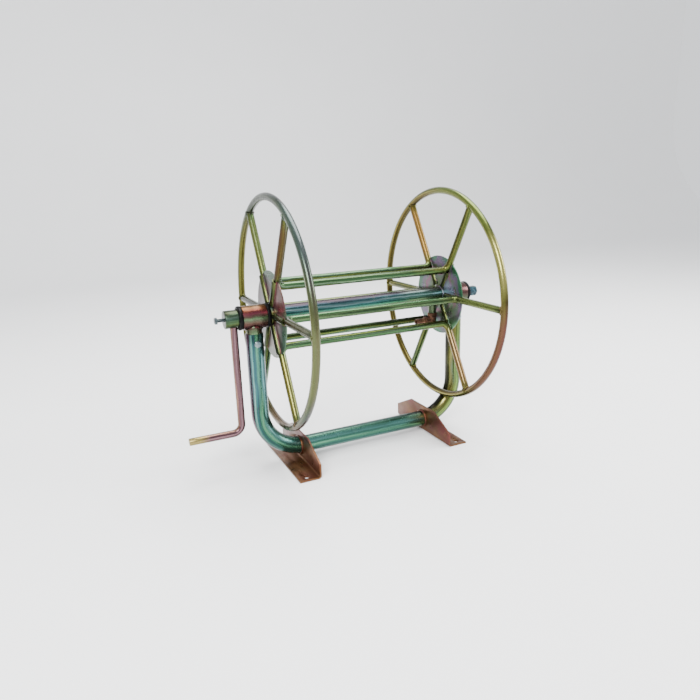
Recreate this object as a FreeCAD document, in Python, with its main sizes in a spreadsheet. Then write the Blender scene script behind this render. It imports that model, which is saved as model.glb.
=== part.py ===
import FreeCAD, Part
import os

import Sketcher

# Floor-fixed hose reel: a tube frame on two angle feet carries an open spoked reel, turned by hand.
# The row frame: X along the reel's axle (crank at -X, water inlet at +X), Y to the back, Z up.
# The origin lies on the floor, at the centre of the four anchor holes. All sizes are millimetres.

V = FreeCAD.Vector
doc = FreeCAD.newDocument("hose_reel")

# ---------------------------------------------------------------- driving dimensions
SIZES = {
    # reel
    "axle_height": 340,
    "flange_radius": 242,
    "rod_dia": 16,
    "flange_x": 208,
    "drum_radius": 73,
    "bar_bend": 17,
    "rod_gap": 0.1,
    # hub
    "drum_tube_dia": 38,
    "drum_tube_bore": 33,
    "disc_x": 210.5,
    "disc_dia": 186,
    "disc_thick": 3,
    "slot_start": 24,
    "stiffener_x": 211.5,
    "stiffener_start": 26.5,
    "stiffener_notch": 67.5,
    "stiffener_end": 89,
    "collar_dia": 48,
    "collar_end": 217.2,
    # bearings
    "upright_x": 251.5,
    "housing_dia": 50,
    "housing_bore": 44,
    "housing_half": 25.5,
    "bush_flange_dia": 51,
    "bush_flange": 8.5,
    "bush_sleeve": 21,
    "bush_edge": 2,
    "running_gap": 0.05,
    # frame
    "frame_tube_dia": 38,
    "frame_tube_wall": 2,
    "frame_bend": 95,
    "floor_tube_z": 32,
    "upright_top": 305,
    "stub_dia": 33.6,
    "stub_wall": 3,
    "stub_depth": 48,
    "lock_bolt_z": 285,
    # feet
    "foot_inner_x": 161,
    "foot_length": 240,
    "foot_width": 49,
    "foot_steel": 4,
    "foot_bend": 5,
    "foot_hole_gap": 0.5,
    "foot_end_height": 33,
    "foot_top_height": 66,
    "foot_top_half": 53,
    "anchor_x": 190.5,
    "anchor_y": 106,
    "anchor_hole": 11,
    # crank
    "left_end_x": 313,
    "plug_length": 34,
    "crank_x": 294,
    "crank_top": 9,
    "crank_arm": 250,
    "crank_bend": 20,
    "handle_end_x": 408,
    "bolt_size": 8,
    "bolt_flats": 13,
    "bolt_head": 5.5,
    "bolt_washer_dia": 12.5,
    "bolt_seat_gap": 0.3,
    "crank_bolt_head_x": 327,
    "lock_bolt_length": 14,
    # water way
    "right_end_x": 287,
    "inlet_plug_length": 28,
    "spigot_dia": 13,
    "spigot_end_x": 302,
    "groove_depth": 1.6,
    "seal_groove_x": 290.4,
    "seal_groove_width": 2.2,
    "clip_groove_x": 298.9,
    "clip_groove_width": 1.2,
    "water_bore": 8,
    "pipe_dia": 18,
    "pipe_wall": 2,
    "pipe_bend": 16,
    "pipe_socket": 14,
    "riser_x": 190,
    "riser_drop": 50,
    "inlet_start_x": 288,
    "inlet_end_x": 314,
    "inlet_flats": 22,
    "inlet_step_x": 298.5,
    "inlet_port_x": 302.5,
    "clip_room_dia": 16,
    "inlet_thread_minor": 14.95,
    "clip_dia": 14.6,
    "nut_flats": 22,
    "nut_top": 42,
    "nut_height": 10,
    "elbow_dia": 20,
    "elbow_arm_dia": 15.5,
    "elbow_axis": 60,
    "elbow_bottom": 70,
    "tail_start_x": 174,
    "tail_end_x": 145,
    "tail_dia": 14,
    "tail_bore": 10,
    "tail_collar_dia": 20,
    "tail_collar_length": 5,
    # room left past a face by a cut that runs through it
    "overrun": 5,
}

dims = doc.addObject("Spreadsheet::Sheet", "dims")
for row, (alias, size) in enumerate(SIZES.items(), start=1):
    dims.set(f"A{row}", alias)
    dims.set(f"B{row}", str(size))
    dims.setAlias(f"B{row}", alias)
doc.recompute()

PIECES = []


def value(expression):
    """The present number of an expression on the sheet."""
    return float(dims.evalExpression(str(expression)))


def name_piece(piece, label):
    piece.Label = label
    PIECES.append(piece)
    return piece


def put(piece, x="0", y="0", z="0", axis=(0, 0, 1), turn=0):
    """Places a piece: its base follows the sheet, and it is turned about one axis."""
    piece.Placement = FreeCAD.Placement(V(0, 0, 0), FreeCAD.Rotation(V(*axis), turn))
    for letter, expression in (("x", x), ("y", y), ("z", z)):
        piece.setExpression(f"Placement.Base.{letter}", str(expression))
    return piece


# ---------------------------------------------------------------- sketches
def new_body(name):
    return doc.addObject("PartDesign::Body", name)


def origin_part(body, role):
    return next(item for item in body.Origin.OriginFeatures if item.Role == role)


def new_sketch(body, name, role, offset=None):
    """A sketch on one of the body's own origin planes, moved along its normal by offset."""
    sketch = body.newObject("Sketcher::SketchObject", name)
    sketch.AttachmentSupport = [(origin_part(body, role), "")]
    sketch.MapMode = "FlatFace"
    if offset is not None:
        sketch.setExpression("AttachmentOffset.Base.z", str(offset))
    return sketch


def fix(sketch, direction, shape, point, expression):
    """Holds one coordinate of a sketch point at an expression. Zero means: on that axis."""
    number = value(expression)
    if abs(number) < 1e-9:
        axis = -2 if direction == "DistanceX" else -1
        sketch.addConstraint(Sketcher.Constraint("PointOnObject", shape, point, axis))
        return
    index = sketch.addConstraint(Sketcher.Constraint(direction, -1, 1, shape, point, number))
    bind_last(sketch, index, expression)


def fix_point(sketch, shape, point, x, y):
    fix(sketch, "DistanceX", shape, point, x)
    fix(sketch, "DistanceY", shape, point, y)


def fix_radius(sketch, shape, expression):
    index = sketch.addConstraint(Sketcher.Constraint("Radius", shape, value(expression)))
    bind_last(sketch, index, expression)


def bind_last(sketch, index, expression):
    label = f"size_{index}"
    sketch.renameConstraint(index, label)
    sketch.setExpression(f"Constraints.{label}", str(expression))


def draw_circle(sketch, x, y, radius):
    centre = V(value(x), value(y), 0)
    index = sketch.addGeometry(Part.Circle(centre, V(0, 0, 1), value(radius)))
    fix_point(sketch, index, 3, x, y)
    fix_radius(sketch, index, radius)


def draw_outline(sketch, corners):
    """A closed outline of straight lines through corners, each an (x, y) pair of expressions."""
    points = [V(value(x), value(y), 0) for x, y in corners]
    first = sketch.GeometryCount
    count = len(points)
    for index, start in enumerate(points):
        sketch.addGeometry(Part.LineSegment(start, points[(index + 1) % count]))
    for index in range(count):
        after = first + (index + 1) % count
        sketch.addConstraint(Sketcher.Constraint("Coincident", first + index, 2, after, 1))
        fix_point(sketch, first + index, 1, *corners[index])


def draw_bent_path(sketch, corners, bend):
    """A path of upright and level legs through corners, rounded at each corner by one bend radius."""
    points = [V(value(x), value(y), 0) for x, y in corners]
    radius = value(bend)
    legs = []
    arcs = []
    start = points[0]
    for before, corner, after in zip(points, points[1:], points[2:]):
        back = (before - corner).normalize()
        ahead = (after - corner).normalize()
        leave = corner + back * radius
        arrive = corner + ahead * radius
        middle = corner + (back + ahead) * radius - (back + ahead).normalize() * radius
        legs.append(sketch.addGeometry(Part.LineSegment(start, leave)))
        arcs.append(sketch.addGeometry(Part.Arc(leave, middle, arrive)))
        start = arrive
    legs.append(sketch.addGeometry(Part.LineSegment(start, points[-1])))
    for index, leg in enumerate(legs):
        upright = corners[index][0] == corners[index + 1][0]
        sketch.addConstraint(Sketcher.Constraint("Vertical" if upright else "Horizontal", leg))
    for index, arc in enumerate(arcs):
        leave = points[index + 1] + (points[index] - points[index + 1]).normalize() * radius
        near, far = (1, 2) if sketch.getPoint(arc, 1).distanceToPoint(leave) < 1e-6 else (2, 1)
        sketch.addConstraint(Sketcher.Constraint("Tangent", legs[index], 2, arc, near))
        sketch.addConstraint(Sketcher.Constraint("Tangent", arc, far, legs[index + 1], 1))
        fix_radius(sketch, arc, bend)
    fix_point(sketch, legs[0], 1, *corners[0])
    fix_point(sketch, legs[-1], 2, *corners[-1])
    for index, leg in enumerate(legs[1:-1], start=1):
        upright = corners[index][0] == corners[index + 1][0]
        direction, which = ("DistanceX", 0) if upright else ("DistanceY", 1)
        fix(sketch, direction, leg, 1, corners[index][which])


# ---------------------------------------------------------------- features
def pad(body, sketch, length, both_ways=False):
    feature = body.newObject("PartDesign::Pad", "pad")
    feature.Profile = sketch
    feature.Midplane = both_ways
    feature.setExpression("Length", str(length))
    doc.recompute()
    return feature


def pocket_through(body, sketch, both_ways=True):
    feature = body.newObject("PartDesign::Pocket", "pocket")
    feature.Profile = sketch
    feature.Type = "ThroughAll"
    feature.Midplane = both_ways
    doc.recompute()
    return feature


def pipe(body, kind, profile, path):
    feature = body.newObject(f"PartDesign::{kind}", "pipe")
    feature.Profile = profile
    feature.Spine = (path, [])
    doc.recompute()
    return feature


def about_axle(body, kind, sketch):
    """A full revolution or groove about the body's X axis."""
    feature = body.newObject(f"PartDesign::{kind}", "turned")
    feature.Profile = sketch
    feature.ReferenceAxis = (origin_part(body, "X_Axis"), [""])
    feature.Angle = 360
    doc.recompute()
    return feature


def repeat_about_axle(body, features, count):
    pattern = body.newObject("PartDesign::PolarPattern", "pattern")
    pattern.Originals = features
    pattern.Axis = (origin_part(body, "X_Axis"), [""])
    pattern.Angle = 360
    pattern.Occurrences = count
    body.Tip = pattern
    doc.recompute()
    return pattern


def bent_rod(label, corners, bend, outer, bore=None):
    """A round rod, or a tube with a bore, along a path of upright and level legs in the XZ plane."""
    body = new_body(label)
    path = new_sketch(body, "path", "XZ_Plane")
    draw_bent_path(path, corners, bend)
    upright_start = corners[0][0] == corners[1][0]
    if upright_start:
        profile = new_sketch(body, "profile", "XY_Plane", corners[0][1])
        centre = (corners[0][0], "0")
    else:
        profile = new_sketch(body, "profile", "YZ_Plane", corners[0][0])
        centre = ("0", corners[0][1])
    draw_circle(profile, *centre, f"({outer}) / 2")
    if bore is not None:
        draw_circle(profile, *centre, f"({bore}) / 2")
    doc.recompute()
    pipe(body, "AdditivePipe", profile, path)
    return body


def turned(label, side, outline):
    """A piece turned about the axle. The outline's x runs outwards from the reel's middle, y is a radius."""
    body = new_body(label)
    sketch = new_sketch(body, "outline", "XZ_Plane")
    draw_outline(sketch, outline)
    doc.recompute()
    about_axle(body, "Revolution", sketch)
    put(body, z="dims.axle_height", turn=0 if side > 0 else 180)
    return name_piece(body, label)


def cylinder(label, radius, height):
    piece = doc.addObject("Part::Cylinder", label)
    piece.setExpression("Radius", str(radius))
    piece.setExpression("Height", str(height))
    return piece


def hexagon(label, flats, height):
    """A hexagonal bar along Z, with a flat facing each way along the local Y axis."""
    piece = doc.addObject("Part::Prism", label)
    piece.Polygon = 6
    piece.setExpression("Circumradius", f"({flats}) / sqrt(3)")
    piece.setExpression("Height", str(height))
    return piece


def fuse(label, *pieces):
    joined = doc.addObject("Part::MultiFuse", label)
    joined.Shapes = list(pieces)
    joined.Refine = True
    return joined


def cut(label, base, tool):
    remains = doc.addObject("Part::Cut", label)
    remains.Base = base
    remains.Tool = tool
    return remains


def hex_bolt(label, length):
    """A hexagon bolt along Z: the head above z = 0, its shank below."""
    head = hexagon(label + "_hexagon", "dims.bolt_flats", "dims.bolt_head")
    washer_face = cylinder(label + "_washer_face", "dims.bolt_washer_dia / 2", "2 * dims.bolt_seat_gap")
    put(washer_face, z="-dims.bolt_seat_gap")
    shank = cylinder(label + "_shank", "dims.bolt_size / 2", f"({length}) + dims.bolt_head / 2")
    put(shank, z=f"-({length})")
    return fuse(label, head, washer_face, shank)


SIDES = (("left", -1), ("right", 1))
BAR_COUNT = 6
BAR_ANGLES = [30 + 360 / BAR_COUNT * index for index in range(BAR_COUNT)]


# ---------------------------------------------------------------- frame
def frame_tube():
    """One tube bent into a U: two uprights joined by a level run just above the floor."""
    corners = [
        ("-dims.upright_x", "dims.upright_top"),
        ("-dims.upright_x", "dims.floor_tube_z"),
        ("dims.upright_x", "dims.floor_tube_z"),
        ("dims.upright_x", "dims.upright_top"),
    ]
    bore = "dims.frame_tube_dia - 2 * dims.frame_tube_wall"
    body = bent_rod("frame_tube", corners, "dims.frame_bend", "dims.frame_tube_dia", bore)
    holes = new_sketch(body, "lock_bolt_holes", "XZ_Plane")
    for side in (-1, 1):
        draw_circle(holes, f"{side} * dims.upright_x", "dims.lock_bolt_z", "dims.bolt_size / 2 + 0.2")
    doc.recompute()
    feature = pocket_through(body, holes, both_ways=False)
    feature.Reversed = True
    doc.recompute()
    return name_piece(body, "frame_tube")


def foot(side_name, side):
    """An angle foot of bent steel plate: a flange on the floor and an upright web that holds the tube."""
    body = new_body(f"foot_{side_name}")
    web_middle = "dims.foot_inner_x + dims.foot_steel / 2"
    fold = new_sketch(body, "fold", "XZ_Plane")
    draw_bent_path(fold, [
        (web_middle, "dims.foot_top_height"),
        (web_middle, "dims.foot_steel / 2"),
        ("dims.foot_inner_x + dims.foot_width", "dims.foot_steel / 2"),
    ], "dims.foot_bend")
    plate = new_sketch(body, "plate", "XY_Plane", "dims.foot_top_height")
    draw_outline(plate, [
        ("dims.foot_inner_x", "-dims.foot_length / 2"),
        ("dims.foot_inner_x + dims.foot_steel", "-dims.foot_length / 2"),
        ("dims.foot_inner_x + dims.foot_steel", "dims.foot_length / 2"),
        ("dims.foot_inner_x", "dims.foot_length / 2"),
    ])
    doc.recompute()
    pipe(body, "AdditivePipe", plate, fold)
    trims = new_sketch(body, "trims", "YZ_Plane")
    above = "dims.foot_top_height + dims.overrun"
    for end in (-1, 1):
        beyond = f"{end} * (dims.foot_length / 2 + dims.overrun)"
        draw_outline(trims, [
            (f"{end} * dims.foot_top_half", above),
            (f"{end} * dims.foot_top_half", "dims.foot_top_height"),
            (f"{end} * dims.foot_length / 2", "dims.foot_end_height"),
            (beyond, "dims.foot_end_height"),
            (beyond, above),
        ])
    draw_circle(trims, "0", "dims.floor_tube_z", "dims.frame_tube_dia / 2 + dims.foot_hole_gap")
    doc.recompute()
    pocket_through(body, trims)
    anchors = new_sketch(body, "anchor_holes", "XY_Plane")
    for end in (-1, 1):
        draw_circle(anchors, "dims.anchor_x", f"{end} * dims.anchor_y", "dims.anchor_hole / 2")
    doc.recompute()
    pocket_through(body, anchors)
    put(body, turn=0 if side > 0 else 180)
    return name_piece(body, f"foot_{side_name}")


def bearing_housing(side_name, side):
    """A short length of thick tube across the top of an upright."""
    near = "dims.upright_x - dims.housing_half"
    far = "dims.upright_x + dims.housing_half"
    outer = "dims.housing_dia / 2"
    bore = "dims.housing_bore / 2"
    turned(f"bearing_housing_{side_name}", side, [(near, bore), (near, outer), (far, outer), (far, bore)])


def housing_stub(side_name, side):
    """The tube welded under a housing: it slips down inside the upright and is locked by a bolt."""
    body = new_body(f"housing_stub_{side_name}")
    section = new_sketch(body, "section", "XY_Plane", "dims.upright_top - dims.stub_depth")
    draw_circle(section, "0", "0", "dims.stub_dia / 2")
    draw_circle(section, "0", "0", "dims.stub_dia / 2 - dims.stub_wall")
    doc.recompute()
    pad(body, section, "dims.axle_height - dims.upright_top + dims.stub_depth")
    saddle = new_sketch(body, "saddle", "YZ_Plane")
    draw_circle(saddle, "0", "dims.axle_height", "dims.housing_dia / 2 + dims.rod_gap")
    doc.recompute()
    pocket_through(body, saddle)
    tapped = new_sketch(body, "tapped_hole", "XZ_Plane")
    draw_circle(tapped, "0", "dims.lock_bolt_z", "dims.bolt_size / 2 + dims.running_gap")
    doc.recompute()
    feature = pocket_through(body, tapped, both_ways=False)
    feature.Reversed = True
    doc.recompute()
    put(body, x=f"{side} * dims.upright_x")
    return name_piece(body, f"housing_stub_{side_name}")


def bushes(side_name, side):
    """Two flanged plastic bushes, pushed into a housing from its two ends."""
    bore = "dims.drum_tube_dia / 2 + dims.running_gap"
    sleeve = "dims.housing_bore / 2 - dims.running_gap"
    rim = "dims.bush_flange_dia / 2"
    lip = "dims.bush_flange_dia / 2 - dims.bush_edge"
    for place, sign in (("outer", "+"), ("inner", "-")):
        face = f"dims.upright_x {sign} dims.housing_half"
        deep = f"dims.upright_x {sign} (dims.housing_half - dims.bush_sleeve)"
        swell = f"dims.upright_x {sign} (dims.housing_half + dims.bush_edge)"
        taper = f"dims.upright_x {sign} (dims.housing_half + dims.bush_flange - dims.bush_edge)"
        end = f"dims.upright_x {sign} (dims.housing_half + dims.bush_flange)"
        turned(f"bush_{place}_{side_name}", side, [
            (deep, bore), (deep, sleeve), (face, sleeve), (face, lip), (swell, rim), (taper, rim),
            (end, lip), (end, bore),
        ])


def lock_bolts():
    """Two equal bolts, one through the front of each upright into the stub inside it."""
    bolts = []
    for side_name, side in SIDES:
        bolt = hex_bolt(f"lock_bolt_{side_name}", "dims.lock_bolt_length")
        put(bolt, x=f"{side} * dims.upright_x", y="-dims.frame_tube_dia / 2 - dims.bolt_seat_gap",
            z="dims.lock_bolt_z", axis=(1, 0, 0), turn=90)
        bolts.append(bolt)
    group = doc.addObject("Part::Compound", "lock_bolts")
    group.Links = bolts
    return name_piece(group, "lock_bolts")


# ---------------------------------------------------------------- reel
def drum_tube():
    """The reel's axle: one tube through both flanges, with holes for the crank rod and the water pipe."""
    body = new_body("drum_tube")
    section = new_sketch(body, "section", "YZ_Plane", "-dims.left_end_x")
    draw_circle(section, "0", "0", "dims.drum_tube_dia / 2")
    draw_circle(section, "0", "0", "dims.drum_tube_bore / 2")
    doc.recompute()
    pad(body, section, "dims.left_end_x + dims.right_end_x")
    holes = new_sketch(body, "holes", "XY_Plane")
    draw_circle(holes, "-dims.crank_x", "0", "dims.rod_dia / 2 + dims.rod_gap")
    draw_circle(holes, "dims.riser_x", "0", "dims.pipe_dia / 2 + dims.rod_gap")
    doc.recompute()
    pocket_through(body, holes, both_ways=False)
    put(body, z="dims.axle_height")
    return name_piece(body, "drum_tube")


def flange_ring(side_name, side):
    """The rim of a flange: one rod rolled into a hoop."""
    ring = doc.addObject("Part::Torus", f"flange_ring_{side_name}")
    ring.setExpression("Radius1", "dims.flange_radius")
    ring.setExpression("Radius2", "dims.rod_dia / 2")
    put(ring, x=f"{side} * dims.flange_x", z="dims.axle_height", axis=(0, 1, 0), turn=90)
    name_piece(ring, f"flange_ring_{side_name}")


def drum_bar(number, angle):
    """One rod bent like a staple: a level run that the hose winds on, and a spoke at each end."""
    corners = [
        ("-dims.flange_x", "dims.flange_radius"),
        ("-dims.flange_x", "dims.drum_radius"),
        ("dims.flange_x", "dims.drum_radius"),
        ("dims.flange_x", "dims.flange_radius"),
    ]
    label = f"drum_bar_{number}"
    body = bent_rod(label, corners, "dims.bar_bend", "dims.rod_dia")
    saddles = new_sketch(body, "saddles", "XZ_Plane")
    for side in (-1, 1):
        draw_circle(saddles, f"{side} * dims.flange_x", "dims.flange_radius",
                    "dims.rod_dia / 2 + dims.rod_gap")
    doc.recompute()
    about_axle(body, "Groove", saddles)
    put(body, z="dims.axle_height", axis=(1, 0, 0), turn=angle)
    name_piece(body, label)


def hub_disc(side_name, side):
    """The plate that ties the spokes to the axle, slotted on each spoke's line from hub to rim."""
    body = new_body(f"hub_disc_{side_name}")
    outline = new_sketch(body, "outline", "YZ_Plane")
    draw_circle(outline, "0", "0", "dims.disc_dia / 2")
    draw_circle(outline, "0", "0", "dims.drum_tube_dia / 2 + dims.rod_gap")
    doc.recompute()
    pad(body, outline, "dims.disc_thick", both_ways=True)
    slot = new_sketch(body, "slot", "YZ_Plane")
    slot.AttachmentOffset = FreeCAD.Placement(V(0, 0, 0), FreeCAD.Rotation(V(0, 0, 1), BAR_ANGLES[0]))
    half = "dims.rod_dia / 2 + dims.rod_gap"
    low = "dims.slot_start"
    high = "dims.disc_dia / 2 + dims.overrun"
    draw_outline(slot, [(f"-({half})", low), (half, low), (half, high), (f"-({half})", high)])
    doc.recompute()
    repeat_about_axle(body, [pocket_through(body, slot)], BAR_COUNT)
    put(body, x=f"{side} * dims.disc_x", z="dims.axle_height")
    return name_piece(body, f"hub_disc_{side_name}")


def hub_stiffener(side_name, side, number, angle):
    """A rod in a slot of the disc: it carries a spoke's line in to the axle, and laps over the bar's bend."""
    label = f"hub_stiffener_{side_name}_{number}"
    rod = cylinder(label + "_rod", "dims.rod_dia / 2", "dims.stiffener_end - dims.stiffener_start")
    put(rod, x="dims.stiffener_x", z="dims.stiffener_start")
    bar_room = cylinder(label + "_bar_room", "dims.rod_dia / 2 + dims.rod_gap",
                        "dims.stiffener_end - dims.stiffener_notch + dims.overrun")
    put(bar_room, x="dims.flange_x", z="dims.stiffener_notch")
    lapped = cut(label, rod, bar_room)
    upright = FreeCAD.Rotation(V(0, 0, 1), 0 if side > 0 else 180)
    lapped.Placement.Rotation = FreeCAD.Rotation(V(1, 0, 0), angle) * upright
    lapped.setExpression("Placement.Base.z", "dims.axle_height")
    name_piece(lapped, label)


def hub_collar(side_name, side):
    """The thrust collar between a disc and the inner bush."""
    near = "dims.disc_x + dims.disc_thick / 2"
    outer = "dims.collar_dia / 2"
    bore = "dims.drum_tube_dia / 2 + dims.rod_gap"
    end = "dims.collar_end"
    turned(f"hub_collar_{side_name}", side, [(near, bore), (near, outer), (end, outer), (end, bore)])


# ---------------------------------------------------------------- crank
def crank_plug():
    """The steel plug in the tube's left end: drilled across for the crank rod, tapped for its bolt."""
    body = cylinder("plug_blank", "dims.drum_tube_bore / 2 - dims.rod_gap", "dims.plug_length")
    put(body, x="-dims.left_end_x", z="dims.axle_height", axis=(0, 1, 0), turn=90)
    rod_hole = cylinder("plug_rod_hole", "dims.rod_dia / 2 + dims.rod_gap", "dims.drum_tube_dia")
    put(rod_hole, x="-dims.crank_x",
        z="dims.axle_height + dims.crank_top + dims.rod_gap - dims.drum_tube_dia")
    bolt_hole = cylinder("plug_bolt_hole", "dims.bolt_size / 2 + dims.running_gap",
                         "dims.left_end_x - dims.crank_x + dims.overrun")
    put(bolt_hole, x="-dims.left_end_x - dims.overrun", z="dims.axle_height", axis=(0, 1, 0), turn=90)
    return name_piece(cut("crank_plug", body, fuse("plug_holes", rod_hole, bolt_hole)), "crank_plug")


def crank_rod():
    """The crank: one rod, down from the axle and out to a plain handle."""
    corners = [
        ("dims.crank_x", "0"),
        ("dims.crank_x", "dims.crank_top + dims.crank_arm"),
        ("dims.handle_end_x", "dims.crank_top + dims.crank_arm"),
    ]
    body = bent_rod("crank_rod", corners, "dims.crank_bend", "dims.rod_dia")
    put(body, z="dims.axle_height + dims.crank_top", axis=(0, 1, 0), turn=180)
    name_piece(body, "crank_rod")


def crank_bolt():
    """The bolt along the axle that presses on the crank rod and holds it."""
    length = "dims.crank_bolt_head_x - dims.crank_x - dims.rod_dia / 2 - dims.bolt_seat_gap"
    bolt = hex_bolt("crank_bolt", length)
    put(bolt, x="-dims.crank_bolt_head_x", z="dims.axle_height", axis=(0, 1, 0), turn=-90)
    name_piece(bolt, "crank_bolt")


# ---------------------------------------------------------------- water way
def inlet_plug():
    """The turned plug welded in the tube's right end. Its spigot carries the swivel."""
    start = "dims.right_end_x - dims.inlet_plug_length"
    socket = "dims.right_end_x - dims.pipe_socket"
    end = "dims.right_end_x"
    body_radius = "dims.drum_tube_bore / 2 - dims.rod_gap"
    pipe_radius = "dims.pipe_dia / 2 + dims.rod_gap"
    spigot = "dims.spigot_dia / 2"
    groove = "dims.spigot_dia / 2 - dims.groove_depth"
    seal_start = "dims.seal_groove_x"
    seal_end = "dims.seal_groove_x + dims.seal_groove_width"
    clip_start = "dims.clip_groove_x"
    clip_end = "dims.clip_groove_x + dims.clip_groove_width"
    water = "dims.water_bore / 2"
    turned("inlet_plug", 1, [
        (start, pipe_radius), (start, body_radius), (end, body_radius), (end, spigot),
        (seal_start, spigot), (seal_start, groove), (seal_end, groove), (seal_end, spigot),
        (clip_start, spigot), (clip_start, groove), (clip_end, groove), (clip_end, spigot),
        ("dims.spigot_end_x", spigot), ("dims.spigot_end_x", water), (socket, water),
        (socket, pipe_radius),
    ])


def groove_ring(label, groove_x, groove_width, outer_dia):
    """A ring that sits in one of the spigot's grooves."""
    start = f"{groove_x} + dims.rod_gap"
    end = f"{groove_x} + {groove_width} - dims.rod_gap"
    low = "dims.spigot_dia / 2 - dims.groove_depth + dims.rod_gap"
    high = f"{outer_dia} / 2"
    turned(label, 1, [(start, low), (start, high), (end, high), (end, low)])


def swivel_seal():
    """The rubber ring that keeps the water in."""
    groove_ring("swivel_seal", "dims.seal_groove_x", "dims.seal_groove_width", "dims.spigot_dia")


def swivel_clip():
    """The spring ring that keeps the swivel on its spigot."""
    groove_ring("swivel_clip", "dims.clip_groove_x", "dims.clip_groove_width", "dims.clip_dia")


def inlet_swivel():
    """The hexagon that the supply hose screws into. It stays still while the reel turns."""
    blank = hexagon("swivel_blank", "dims.inlet_flats", "dims.inlet_end_x - dims.inlet_start_x")
    along_axle = {"z": "dims.axle_height", "axis": (1, 1, 1), "turn": 120}
    put(blank, x="dims.inlet_start_x", **along_axle)
    spigot_bore = cylinder("swivel_bore", "dims.spigot_dia / 2 + dims.running_gap",
                           "dims.inlet_step_x - dims.inlet_start_x + 2 * dims.overrun")
    put(spigot_bore, x="dims.inlet_start_x - dims.overrun", **along_axle)
    clip_room = cylinder("swivel_clip_room", "dims.clip_room_dia / 2",
                         "dims.inlet_port_x - dims.inlet_step_x")
    put(clip_room, x="dims.inlet_step_x", **along_axle)
    port = cylinder("swivel_port", "dims.inlet_thread_minor / 2",
                    "dims.inlet_end_x - dims.inlet_step_x + dims.overrun")
    put(port, x="dims.inlet_step_x", **along_axle)
    hollow = fuse("swivel_hollow", spigot_bore, clip_room, port)
    name_piece(cut("inlet_swivel", blank, hollow), "inlet_swivel")


def water_pipe():
    """The pipe inside the axle: from the inlet plug to the outlet, out through the tube's underside."""
    corners = [
        ("dims.right_end_x - dims.pipe_socket - dims.rod_gap", "0"),
        ("dims.riser_x", "0"),
        ("dims.riser_x", "-dims.riser_drop"),
    ]
    bore = "dims.pipe_dia - 2 * dims.pipe_wall"
    body = bent_rod("water_pipe", corners, "dims.pipe_bend", "dims.pipe_dia", bore)
    put(body, z="dims.axle_height")
    name_piece(body, "water_pipe")


def outlet_nut():
    """The union nut on the riser."""
    blank = hexagon("nut_blank", "dims.nut_flats", "dims.nut_height")
    bore = cylinder("nut_bore", "dims.pipe_dia / 2 + dims.rod_gap", "dims.nut_height + 2 * dims.overrun")
    put(bore, z="-dims.overrun")
    nut = cut("outlet_nut", blank, bore)
    put(nut, x="dims.riser_x", z="dims.axle_height - dims.nut_top - dims.nut_height")
    name_piece(nut, "outlet_nut")


def outlet_elbow():
    """The brass elbow under the nut: it turns the water along the drum, to the hose."""
    top = "dims.nut_top + dims.nut_height + dims.rod_gap"
    barrel = cylinder("elbow_barrel", "dims.elbow_dia / 2", f"dims.elbow_bottom - ({top})")
    put(barrel, x="dims.riser_x", z="dims.axle_height - dims.elbow_bottom")
    along_drum = {"z": "dims.axle_height - dims.elbow_axis", "axis": (0, 1, 0), "turn": 90}
    arm = cylinder("elbow_arm", "dims.elbow_arm_dia / 2", "dims.riser_x - dims.tail_start_x")
    put(arm, x="dims.tail_start_x", **along_drum)
    down = cylinder("elbow_down", "dims.tail_bore / 2", "dims.elbow_axis")
    put(down, x="dims.riser_x", z="dims.axle_height - dims.elbow_axis")
    along = cylinder("elbow_along", "dims.tail_bore / 2", "dims.riser_x - dims.tail_start_x + dims.overrun")
    put(along, x="dims.tail_start_x - dims.overrun", **along_drum)
    solid = fuse("elbow_solid", barrel, arm)
    name_piece(cut("outlet_elbow", solid, fuse("elbow_hollow", down, along)), "outlet_elbow")


def hose_tail():
    """The stem that the hose is clamped on: a collar, then a plain stem."""
    body = new_body("hose_tail")
    sketch = new_sketch(body, "outline", "XZ_Plane")
    stem = "dims.tail_dia / 2"
    bore = "dims.tail_bore / 2"
    collar = "dims.tail_collar_dia / 2"
    collar_x = "dims.tail_start_x - dims.tail_collar_length"
    end = "dims.tail_start_x - dims.rod_gap"
    draw_outline(sketch, [
        ("dims.tail_end_x", bore), ("dims.tail_end_x", stem), (collar_x, stem), (collar_x, collar),
        (end, collar), (end, bore),
    ])
    doc.recompute()
    about_axle(body, "Revolution", sketch)
    put(body, z="dims.axle_height - dims.elbow_axis")
    name_piece(body, "hose_tail")


# ---------------------------------------------------------------- the whole reel
frame_tube()
for name, sign in SIDES:
    foot(name, sign)
    bearing_housing(name, sign)
    housing_stub(name, sign)
    bushes(name, sign)
lock_bolts()

drum_tube()
for index, angle in enumerate(BAR_ANGLES, start=1):
    drum_bar(index, angle)
for name, sign in SIDES:
    flange_ring(name, sign)
    hub_disc(name, sign)
    hub_collar(name, sign)
    for index, angle in enumerate(BAR_ANGLES, start=1):
        hub_stiffener(name, sign, index, angle)

crank_plug()
crank_rod()
crank_bolt()

inlet_plug()
swivel_seal()
swivel_clip()
inlet_swivel()
water_pipe()
outlet_nut()
outlet_elbow()
hose_tail()

doc.recompute()

# ---------------------------------------------------------------- checks and files
for item in doc.Objects:
    if "Invalid" in item.State or "Error" in item.State:
        raise RuntimeError(f"{item.Label} did not recompute: {item.State}")

os.makedirs("parts", exist_ok=True)
for piece in PIECES:
    shape = piece.Shape
    if shape.isNull() or not shape.isValid() or not shape.Solids:
        raise RuntimeError(f"{piece.Label} has no valid solid")
    shape.exportStep(f"parts/{piece.Label}.step")
    print(f"{piece.Label}: {len(shape.Solids)} solid, {shape.Volume / 1000:.2f} cm3")
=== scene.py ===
import math

import bmesh
import bpy
from mathutils import Matrix, Vector


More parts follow.
